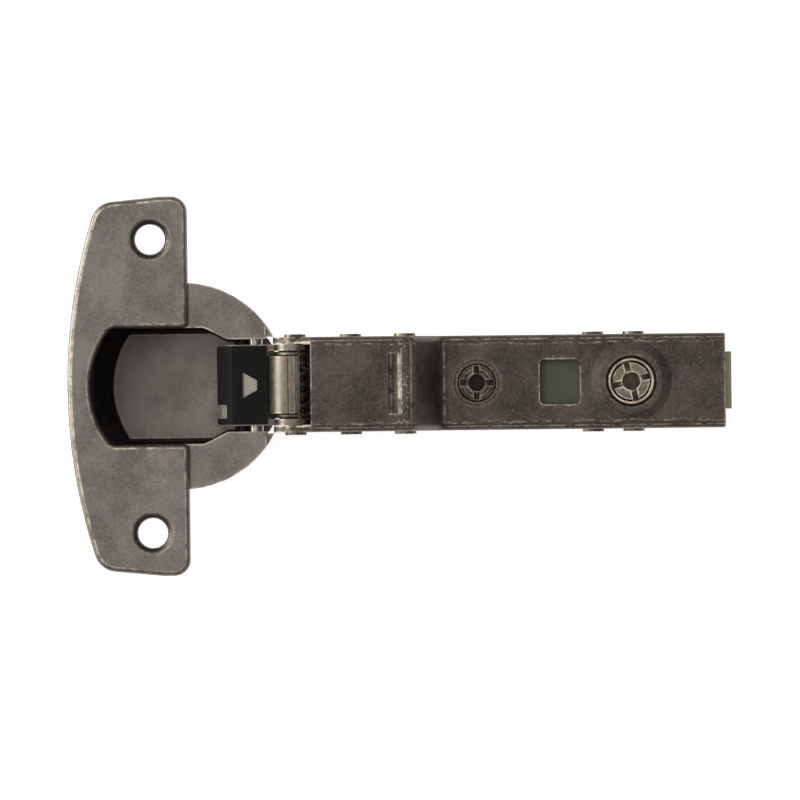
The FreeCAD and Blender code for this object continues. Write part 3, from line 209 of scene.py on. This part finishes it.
def around_axis(tree, place, x_mm, y_mm, radii_mm, mirrored=False):
    """1 inside the first radius round an upright axis and 0 outside the second, or round two
    such axes that mirror each other across the middle plane."""
    inner, outer = radii_mm
    if mirrored:
        along = add_node(tree, "SeparateXYZ", {"Vector": place}, "X")
        place = add_node(tree, "CombineXYZ", {"X": along, "Y": from_middle_plane(tree, place)})
    from_axis = add_node(tree, "VectorMath", {0: place, 1: (x_mm * MM, y_mm * MM, 0)},
                         operation="SUBTRACT")
    flat = add_node(tree, "VectorMath", {0: from_axis, 1: (1, 1, 0)}, operation="MULTIPLY")
    reach = add_node(tree, "VectorMath", {0: flat}, "Value", operation="LENGTH")
    return add_node(tree, "MapRange", {"Value": reach, "From Min": outer * MM,
                                       "From Max": inner * MM},
                    interpolation_type="SMOOTHSTEP")


def socket_painted_shade(tree, place, x_mm):
    """A screw's driver socket: its middle, and the painted shade over its slots and middle."""
    core = around_axis(tree, place, x_mm, 0, SOCKET_CORE)
    within = around_axis(tree, place, x_mm, 0, SOCKET_RIM)
    depth = add_node(tree, "Mix", {FACTOR: core, NUMBER_A: 0.45, NUMBER_B: 0.8},
                     data_type="FLOAT")
    return core, add_node(tree, "Math", {0: depth, 1: within}, operation="MULTIPLY")


def bend_line(tree, place, from_middle_mm):
    """A wavering line along both sides of the roof, where the sheet starts to bend down, and
    the painted shade on the bend outside it."""
    waver = add_node(tree, "TexNoise", {"Vector": place, "Scale": 1 / (BEND_WAVE * MM),
                                        "Detail": 4.0, "Roughness": 0.6}, "Fac")
    shift = add_node(tree, "MapRange", {"Value": waver, "To Min": -BEND_SWAY * MM,
                                        "To Max": BEND_SWAY * MM})
    drawn = add_node(tree, "Math", {0: from_middle_plane(tree, place), 1: shift},
                     operation="ADD")
    outside = add_node(tree, "MapRange",
                       {"Value": drawn, "From Min": (from_middle_mm - 0.25) * MM,
                        "From Max": (from_middle_mm + 0.1) * MM},
                       interpolation_type="SMOOTHSTEP")
    fading = add_node(tree, "MapRange",
                      {"Value": drawn, "From Min": (from_middle_mm + 0.3) * MM,
                       "From Max": (from_middle_mm + 0.1) * MM},
                      interpolation_type="SMOOTHSTEP")
    on_top = add_node(tree, "MapRange", {"Value": looks_up(tree), "From Min": 0.5,
                                         "From Max": 0.8})
    breaks = add_node(tree, "TexNoise", {"Vector": place, "Scale": 1 / (BEND_STRETCH * MM),
                                         "Detail": 5.0, "Roughness": 0.7}, "Fac")
    line = add_node(tree, "MapRange", {"Value": breaks, "From Min": 0.42, "From Max": 0.62})
    for part in (outside, fading, on_top):
        line = add_node(tree, "Math", {0: line, 1: part}, operation="MULTIPLY")
    bend = add_node(tree, "Math", {0: outside, 1: on_top}, operation="MULTIPLY")
    return line, bend


def covered_web(tree, place, end_mm, side_mm):
    """The strip of the link's web that its cover has kept bright, up to end_mm along X and
    side_mm from the middle plane."""
    along = add_node(tree, "SeparateXYZ", {"Vector": place}, "X")
    before = add_node(tree, "MapRange", {"Value": along, "From Min": end_mm * MM,
                                         "From Max": (end_mm - WEB_FADE) * MM})
    within = add_node(tree, "MapRange", {"Value": from_middle_plane(tree, place),
                                         "From Min": side_mm * MM,
                                         "From Max": (side_mm - WEB_FADE) * MM})
    return add_node(tree, "Math", {0: before, 1: within}, operation="MULTIPLY")


def trough_floor(tree, place, dark_mm, full_mm):
    """The trough's floor, and its shade, which runs out slantwise from dark_mm to full_mm
    along X."""
    point = add_node(tree, "SeparateXYZ", {"Vector": place}, None).outputs
    below = add_node(tree, "MapRange", {"Value": point["Z"], "From Min": -2.5 * MM,
                                        "From Max": -3.5 * MM})
    slanted = add_node(tree, "Math", {0: point["Y"], 1: -0.5, 2: point["X"]},
                       operation="MULTIPLY_ADD")
    shade = add_node(tree, "MapRange", {"Value": slanted, "From Min": full_mm * MM,
                                        "From Max": dark_mm * MM})
    return below, add_node(tree, "Math", {0: shade, 1: below}, operation="MULTIPLY")


def scraped_band(tree, place, start_mm, stop_mm):
    """A stretch along X that has been scraped all over."""
    along = add_node(tree, "SeparateXYZ", {"Vector": place}, "X")
    rise = add_node(tree, "MapRange", {"Value": along, "From Min": start_mm * MM,
                                       "From Max": (start_mm + SCRAPE_FADE) * MM})
    fall = add_node(tree, "MapRange", {"Value": along, "From Min": stop_mm * MM,
                                       "From Max": (stop_mm - SCRAPE_FADE) * MM})
    band = add_node(tree, "Math", {0: rise, 1: fall}, operation="MULTIPLY")
    chips = chips_all_over(tree, place, SCRAPE, 1.4)
    return add_node(tree, "Math", {0: chips, 1: band}, operation="MULTIPLY")


# Finishes

def plated_steel(name, dark, light, bare, wear=1.0, roughness=0.42, shoulders=ARM_SHOULDERS,
                 recess=(0.3, 0.62), socket=None, countersinks=None, seats=(), web=None,
                 bends=None, trough=None, scraped=None):
    """Thin plating on steel: a satin metal with soft clouds from the dark colour to the light
    one, with painted shade in its recesses, where the black plating is also never rubbed, and
    bare where handling has rubbed it, as strongly as wear says. The arguments from socket on
    say where a feature of the piece is, in mm. socket and seats are places along X, countersinks
    and bends are distances from the middle plane, and web, trough and scraped are what their
    own functions take."""
    material, tree = new_material(name)
    place = add_node(tree, "TexCoord", output="Object")
    clouds = add_node(tree, "TexNoise", {"Vector": place, "Scale": 1 / (CLOUD * MM),
                                         "Detail": 5.0, "Roughness": 0.6}, "Fac")
    mottle = add_node(tree, "TexNoise", {"Vector": place, "Scale": 1 / (MOTTLE * MM),
                                         "Detail": 4.0, "Roughness": 0.8}, "Fac")
    cloudy = add_node(tree, "MapRange", {"Value": clouds, "From Min": 0.4, "From Max": 0.6})
    grainy = add_node(tree, "MapRange", {"Value": mottle, "From Min": 0.38, "From Max": 0.62})
    blend = add_node(tree, "Mix", {FACTOR: 0.6, NUMBER_A: cloudy, NUMBER_B: grainy},
                     data_type="FLOAT")
    tone = add_node(tree, "Mix", {FACTOR: blend, COLOUR_A: srgb(dark), COLOUR_B: srgb(light)},
                    COLOUR_OUT, data_type="RGBA")

    # Gathered first: shades are mask, strength and colour, and all but the web's bright strip
    # are painted shade; marks are mask and strength, and spared places are mask and the share of
    # rubbing that is left there.
    shades = [(recess_shade(tree, *recess), 1.0, "#201E1B")]
    marks = [(hair_scratches(tree, place, *scratch), 0.32) for scratch in HAIR_SCRATCHES]
    marks.append((chips_all_over(tree, place, CHIP, 0.0), 0.4))
    marks.append((edge_crumbs(tree, place), 0.38))
    spared_edges, spared = [], []
    if socket:
        # painted shade in the driver socket, black in its middle
        core, shade = socket_painted_shade(tree, place, socket)
        shades.append((shade, 1.0, "#121110"))
        spared.append((core, 0.0))
    if countersinks:
        # painted shade on the countersinks' slopes, where the black plating is also unrubbed
        countersink_shade = around_axis(tree, place, 0, countersinks, SINK_RIM, mirrored=True)
        ring = around_axis(tree, place, 0, countersinks, SINK_RING, mirrored=True)
        shades.append((countersink_shade, 0.62, "#262422"))
        spared_edges.append((ring, 0.3))
    for seat in seats:
        spared_edges.append((around_axis(tree, place, seat, 0, SEAT_RING), 0.3))
    if web:
        shades.append((covered_web(tree, place, *web), 1.0, "#8F8C80"))
    if bends:
        line, bend = bend_line(tree, place, bends)
        # painted shade on the round outside the bend line
        shades.append((bend, 0.28, "#2A2622"))
        marks.append((line, 0.55))
    if trough:
        below, shade = trough_floor(tree, place, *trough)
        shades.append((shade, 0.85, "#38342F"))
        spared.append((below, 0.15))
    if scraped:
        marks.append((scraped_band(tree, place, *scraped), 0.55))

    for mask, strength, code in shades:
        part = add_node(tree, "Math", {0: mask, 1: strength}, operation="MULTIPLY")
        tone = add_node(tree, "Mix", {FACTOR: part, COLOUR_A: tone, COLOUR_B: srgb(code)},
                        COLOUR_OUT, data_type="RGBA")
    worn = rubbed_edges(tree, place, shoulders)
    for mask, left in spared_edges:
        share = add_node(tree, "MapRange", {"Value": mask, "To Min": 1.0, "To Max": left})
        worn = add_node(tree, "Math", {0: worn, 1: share}, operation="MULTIPLY")
    for mask, strength in marks:
        faint = add_node(tree, "Math", {0: mask, 1: strength}, operation="MULTIPLY")
        worn = add_node(tree, "Math", {0: worn, 1: faint}, operation="MAXIMUM")
    for mask, left in spared:
        share = add_node(tree, "MapRange", {"Value": mask, "To Min": 1.0, "To Max": left})
        worn = add_node(tree, "Math", {0: worn, 1: share}, operation="MULTIPLY")
    worn = add_node(tree, "Math", {0: worn, 1: wear}, operation="MULTIPLY", use_clamp=True)

    colour = add_node(tree, "Mix", {FACTOR: worn, COLOUR_A: tone, COLOUR_B: srgb(bare)},
                      COLOUR_OUT, data_type="RGBA")
    rough = add_node(tree, "MapRange", {"Value": mottle, "From Min": 0.3, "From Max": 0.7,
                                        "To Min": roughness - 0.06, "To Max": roughness + 0.1})
    bump = add_node(tree, "Bump", {"Strength": 0.1, "Distance": GRAIN_HEIGHT * MM,
                                   "Height": mottle})
    shader = add_node(tree, "BsdfPrincipled", {"Base Color": colour, "Roughness": rough,
                                               "Metallic": 1.0, "Normal": bump})
    add_node(tree, "OutputMaterial", {"Surface": shader}, None)
    return material


MOULD_GRAIN = 0.15             # mm, the spark-eroded grain of the mould
FLOW_MARK = 3.0                # mm, the flow marks of the filled plastic


def moulded_plastic(name, colour, roughness, gloss):
    """Moulded plastic: dark, with the mould's fine grain and faint flow marks."""
    material, tree = new_material(name)
    place = add_node(tree, "TexCoord", output="Object")
    grain = add_node(tree, "TexNoise", {"Vector": place, "Scale": 1 / (MOULD_GRAIN * MM),
                                        "Detail": 3.0}, "Fac")
    flow = add_node(tree, "TexNoise", {"Vector": place, "Scale": 1 / (FLOW_MARK * MM),
                                       "Detail": 2.0}, "Fac")
    marks = add_node(tree, "MapRange", {"Value": flow, "From Min": 0.3, "From Max": 0.7})
    tone = add_node(tree, "Mix", {FACTOR: marks, COLOUR_A: srgb(colour),
                                  COLOUR_B: srgb("#121210")}, COLOUR_OUT, data_type="RGBA")
    rough = add_node(tree, "MapRange", {"Value": grain, "To Min": roughness - 0.08,
                                        "To Max": roughness + 0.1})
    bump = add_node(tree, "Bump", {"Strength": 0.2, "Distance": GRAIN_HEIGHT * MM,
                                   "Height": grain})
    shader = add_node(tree, "BsdfPrincipled", {"Base Color": tone, "Roughness": rough,
                                               "IOR": 1.5, "Specular IOR Level": gloss,
                                               "Normal": bump})
    add_node(tree, "OutputMaterial", {"Surface": shader}, None)
    return material


# Pressed steel in black nickel, on the arm and the inner link. The eye gets a dull brown-grey
# with a broken pale line along each bend, painted shade on the round outside that line, and a
# scraped patch before the crank.
arm_nickel = plated_steel("blackened_nickel_plate", "#463F3A", "#776E67", "#D8CAB4",
                          roughness=0.5, seats=(57.6, 85.0), bends=6.9,
                          scraped=(43.2, 46.8))

# Drawn steel in the same black nickel, on the cup. It is painted lighter than the arm, as
# painted light for the stronger light on the flange, and its edges are rubbed on their upper
# rounds. The trough's floor is in painted shade towards its left.
cup_nickel_painted_lighter = plated_steel("blackened_nickel_cup_painted_lighter", "#635D57", "#948E87", "#DCCFBA",
                          shoulders=CUP_SHOULDERS, countersinks=26.0, trough=(-10.0, 11.0))

# Rolled steel in black nickel, on the outer link. It turns on the pivot, so it is polished
# more than chipped, with a paler strip that the cover has kept clean.
link_nickel = plated_steel("rubbed_nickel_link", "#574F48", "#776E65", "#E0D2BE",
                           wear=0.22, roughness=0.36, web=(20.3, 5.95))

# Pressed steel in passivated zinc, inside the arm: flat, dull, grey with a green tinge.
inside_zinc = plated_steel("dull_zinc_plate", "#58584F", "#706F65", "#A8A592",
                           wear=0.3, roughness=0.5)

# The same zinc on the catch, where thumbs have rubbed it to a pale warm grey.
catch_zinc = plated_steel("rubbed_zinc_lever", "#C0B79D", "#D4CBB3", "#D4CCB6",
                          wear=0.6, roughness=0.5)

# Cold-headed steel in black nickel: dark rivet heads with a pale ring at the edge.
rivet_nickel = plated_steel("blackened_rivet_steel", "#48423D", "#625B54", "#CFC1AA",
                            wear=0.7)

# Ground steel in a lighter copy of the pins' tone, as painted light: the pin glints beside the
# cover.
pin_painted_light = plated_steel("pin_steel_painted_light", "#827D74", "#A39D92", "#E8E2D6",
                          wear=0.3, roughness=0.25)

# Ground steel in a near black copy of the pins' tone, as painted shade: the pin deep in the cup
# hardly shows.
pin_painted_shade = plated_steel("pin_steel_painted_shade", "#1E1C1A", "#2B2926", "#5C564D",
                         wear=0.2, roughness=0.4)

# Drawn spring wire, oiled and not worn. Its black is painted as a mid grey, which stands in for
# the light on its coils' tops and reads near black in the gap that it lies in.
spring_wire_painted_light = plated_steel("oiled_spring_steel_painted_light", "#6A665C", "#857F72", "#8C8474",
                           wear=0.0, roughness=0.5, recess=(0.0, 0.1))

# Turned steel in black nickel: the side screw is dark, with thin pale lines at its slots.
side_nickel = plated_steel("blackened_side_screw", "#4E4741", "#686058", "#B8AA96",
                           wear=0.8, recess=(0.45, 0.8), socket=57.6)

# Turned steel, its plating worn through by the driver: the eccentric's face is pale and coppery
# round slots that are painted black as shade.
cam_nickel = plated_steel("worn_eccentric_steel", "#8C7D70", "#B3A190", "#F4E2CE",
                          wear=1.2, roughness=0.3, recess=(0.45, 0.85), socket=85.0)

# Glass-filled nylon, moulded: the link's cover is matt and nearly black.
cover_nylon = moulded_plastic("black_moulded_nylon", "#0A0A09", roughness=0.45, gloss=0.12)

# Acetal, moulded: the damper is dark grey with a soft gloss.
damper_acetal = moulded_plastic("dark_moulded_acetal", "#1E1E1E", roughness=0.4, gloss=0.4)

for node, finish in {
    "cup_shell": cup_nickel_painted_lighter, "cup_front_pin": pin_painted_light, "cup_rear_pin": pin_painted_shade,
    "outer_link": link_nickel, "link_cover": cover_nylon, "inner_link": arm_nickel,
    "arm_channel": arm_nickel, "front_pivot_pin": rivet_nickel,
    "rear_pivot_pin": rivet_nickel, "damper_rivet": rivet_nickel, "guide_pin": rivet_nickel,
    "adapter_pin": rivet_nickel, "catch_pin": rivet_nickel, "closing_spring": spring_wire_painted_light,
    "catch_spring": spring_wire_painted_light, "damper_spring": spring_wire_painted_light,
    "damper_housing": damper_acetal, "damper_plunger": damper_acetal,
    "side_screw": side_nickel, "depth_screw": cam_nickel, "slide_plate": inside_zinc,
    "adapter_channel": inside_zinc, "catch_lever": catch_zinc,
}.items():
    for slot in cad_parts[node].material_slots:
        slot.material = finish


# The closing spring's end coils, in mm

PIVOT = (25.5, 3.2)            # the front pivot's place along X and Z
COIL_RADIUS = 2.65
COIL_WIRE = 1.15
END_COIL = 5.46                # from the middle plane, between the coil and the link's cheek
COIL_TURN = 346                # degrees, just short of a full turn
COIL_STEPS = 48
WIRE_SIDES = 14
MERGE = 0.01                   # points nearer than this are one
ROUND_EDGE = 40                # degrees, below which an edge is shaded as round


def add_end_coil(name, side):
    """A dead coil of wire at one end of the spring, cut square."""
    bpy.ops.object.select_all(action="DESELECT")
    centre = (PIVOT[0] * MM, side * END_COIL * MM, PIVOT[1] * MM)
    bpy.ops.mesh.primitive_circle_add(
        vertices=WIRE_SIDES, radius=COIL_WIRE / 2 * MM, fill_type="NGON",
        location=(centre[0] + COIL_RADIUS * MM, centre[1], centre[2]))
    coil = bpy.context.object
    coil.name = name
    bpy.ops.object.transform_apply(location=True, rotation=True, scale=True)
    bpy.ops.object.mode_set(mode="EDIT")
    bpy.ops.mesh.select_all(action="SELECT")
    bpy.ops.mesh.spin(steps=COIL_STEPS, angle=math.radians(COIL_TURN), center=centre,
                      axis=(0, 1, 0))
    bpy.ops.mesh.select_all(action="SELECT")
    bpy.ops.mesh.remove_doubles(threshold=MERGE * MM)
    bpy.ops.mesh.normals_make_consistent(inside=False)
    bpy.ops.object.mode_set(mode="OBJECT")
    bpy.ops.object.shade_smooth_by_angle(angle=math.radians(ROUND_EDGE))
    coil.data.materials.append(spring_wire_painted_light)
    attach(coil, "arm")


add_end_coil("spring_end_coil_left", 1)
add_end_coil("spring_end_coil_right", -1)


# The studio: a pale floor, soft lamps and a camera straight above the arm

FLOOR_SIZE = 40
FLOOR_GAP = 0.2 * MM           # under the hinge's lowest point
FLOOR_GLOW = 0.8               # lifts the lit paper to white and leaves the hinge's shadow
WORLD_LIGHT = 0.27
PIXEL = 0.1772 * MM            # the photograph's scale at the flange
PICTURE_PIXELS = 800
ROLL = math.radians(0.65)      # the hinge lies turned a little anticlockwise
SENSOR = 36                    # mm
CAMERA_AWAY = 1.6
CAMERA_AIM = (43.97 * MM, -2.91 * MM)
LAMP_AIM = (0.03, 0, 0)
LAMPS = (                      # name, place, width, height and watts
    ("left_softbox", (-0.75, 0.2, 0.12), 0.7, 0.45, 7.6),
    ("top_softbox", (-0.3, 0.15, 1.0), 0.8, 0.9, 3.1))


def seen_rays(tree):
    """1 for the rays that show the background: the camera's own, and those that metal or glass
    sends on."""
    path = add_node(tree, "LightPath", output=None)
    shown = path.outputs["Is Camera Ray"]
    for name in ("Is Glossy Ray", "Is Transmission Ray"):
        shown = add_node(tree, "Math", {0: shown, 1: path.outputs[name]}, operation="MAXIMUM")
    return shown


def make_floor():
    """White paper, which looks matt and has no grain at this distance."""
    bpy.ops.mesh.primitive_plane_add(size=FLOOR_SIZE,
                                     location=(0, 0, cad_box[0][2] - FLOOR_GAP))
    floor = bpy.context.object
    floor.name = "studio_floor"
    material, tree = new_material("white_paper_floor")
    paper = add_node(tree, "BsdfDiffuse", {"Color": srgb("#F4F4F2")})
    lift = add_node(tree, "Math", {0: seen_rays(tree), 1: FLOOR_GLOW}, operation="MULTIPLY")
    glow = add_node(tree, "Emission", {"Color": (1, 1, 1, 1), "Strength": lift})
    both = add_node(tree, "AddShader", {0: paper, 1: glow})
    add_node(tree, "OutputMaterial", {"Surface": both}, None)
    floor.data.materials.append(material)


def make_camera():
    """Straight above the hinge, so far off that its heights hardly shift."""
    camera = bpy.data.cameras.new("photo_camera")
    holder = bpy.data.objects.new("photo_camera", camera)
    bpy.context.collection.objects.link(holder)
    holder.location = CAMERA_AIM + (CAMERA_AWAY,)
    holder.rotation_euler = (0, 0, -ROLL)
    camera.sensor_width = SENSOR
    camera.lens = SENSOR * CAMERA_AWAY / (PICTURE_PIXELS * PIXEL)
    camera.clip_start = 0.01
    bpy.context.scene.camera = holder


def make_world():
    world = bpy.data.worlds.new("studio")
    world.use_nodes = True
    tree = world.node_tree
    tree.nodes.clear()
    soft = add_node(tree, "Background", {"Color": srgb("#E8E8E8"), "Strength": WORLD_LIGHT})
    add_node(tree, "OutputWorld", {"Surface": soft}, None)
    bpy.context.scene.world = world


def make_lamp(name, place, width, height, watts):
    lamp = bpy.data.lights.new(name, "AREA")
    lamp.shape = "RECTANGLE"
    lamp.size = width
    lamp.size_y = height
    lamp.energy = watts
    holder = bpy.data.objects.new(name, lamp)
    bpy.context.collection.objects.link(holder)
    holder.location = place
    direction = Vector(LAMP_AIM) - Vector(place)
    holder.rotation_euler = direction.to_track_quat("-Z", "Y").to_euler()


make_floor()
make_camera()
make_world()
for lamp_row in LAMPS:
    make_lamp(*lamp_row)

bpy.context.scene.view_settings.view_transform = "Standard"
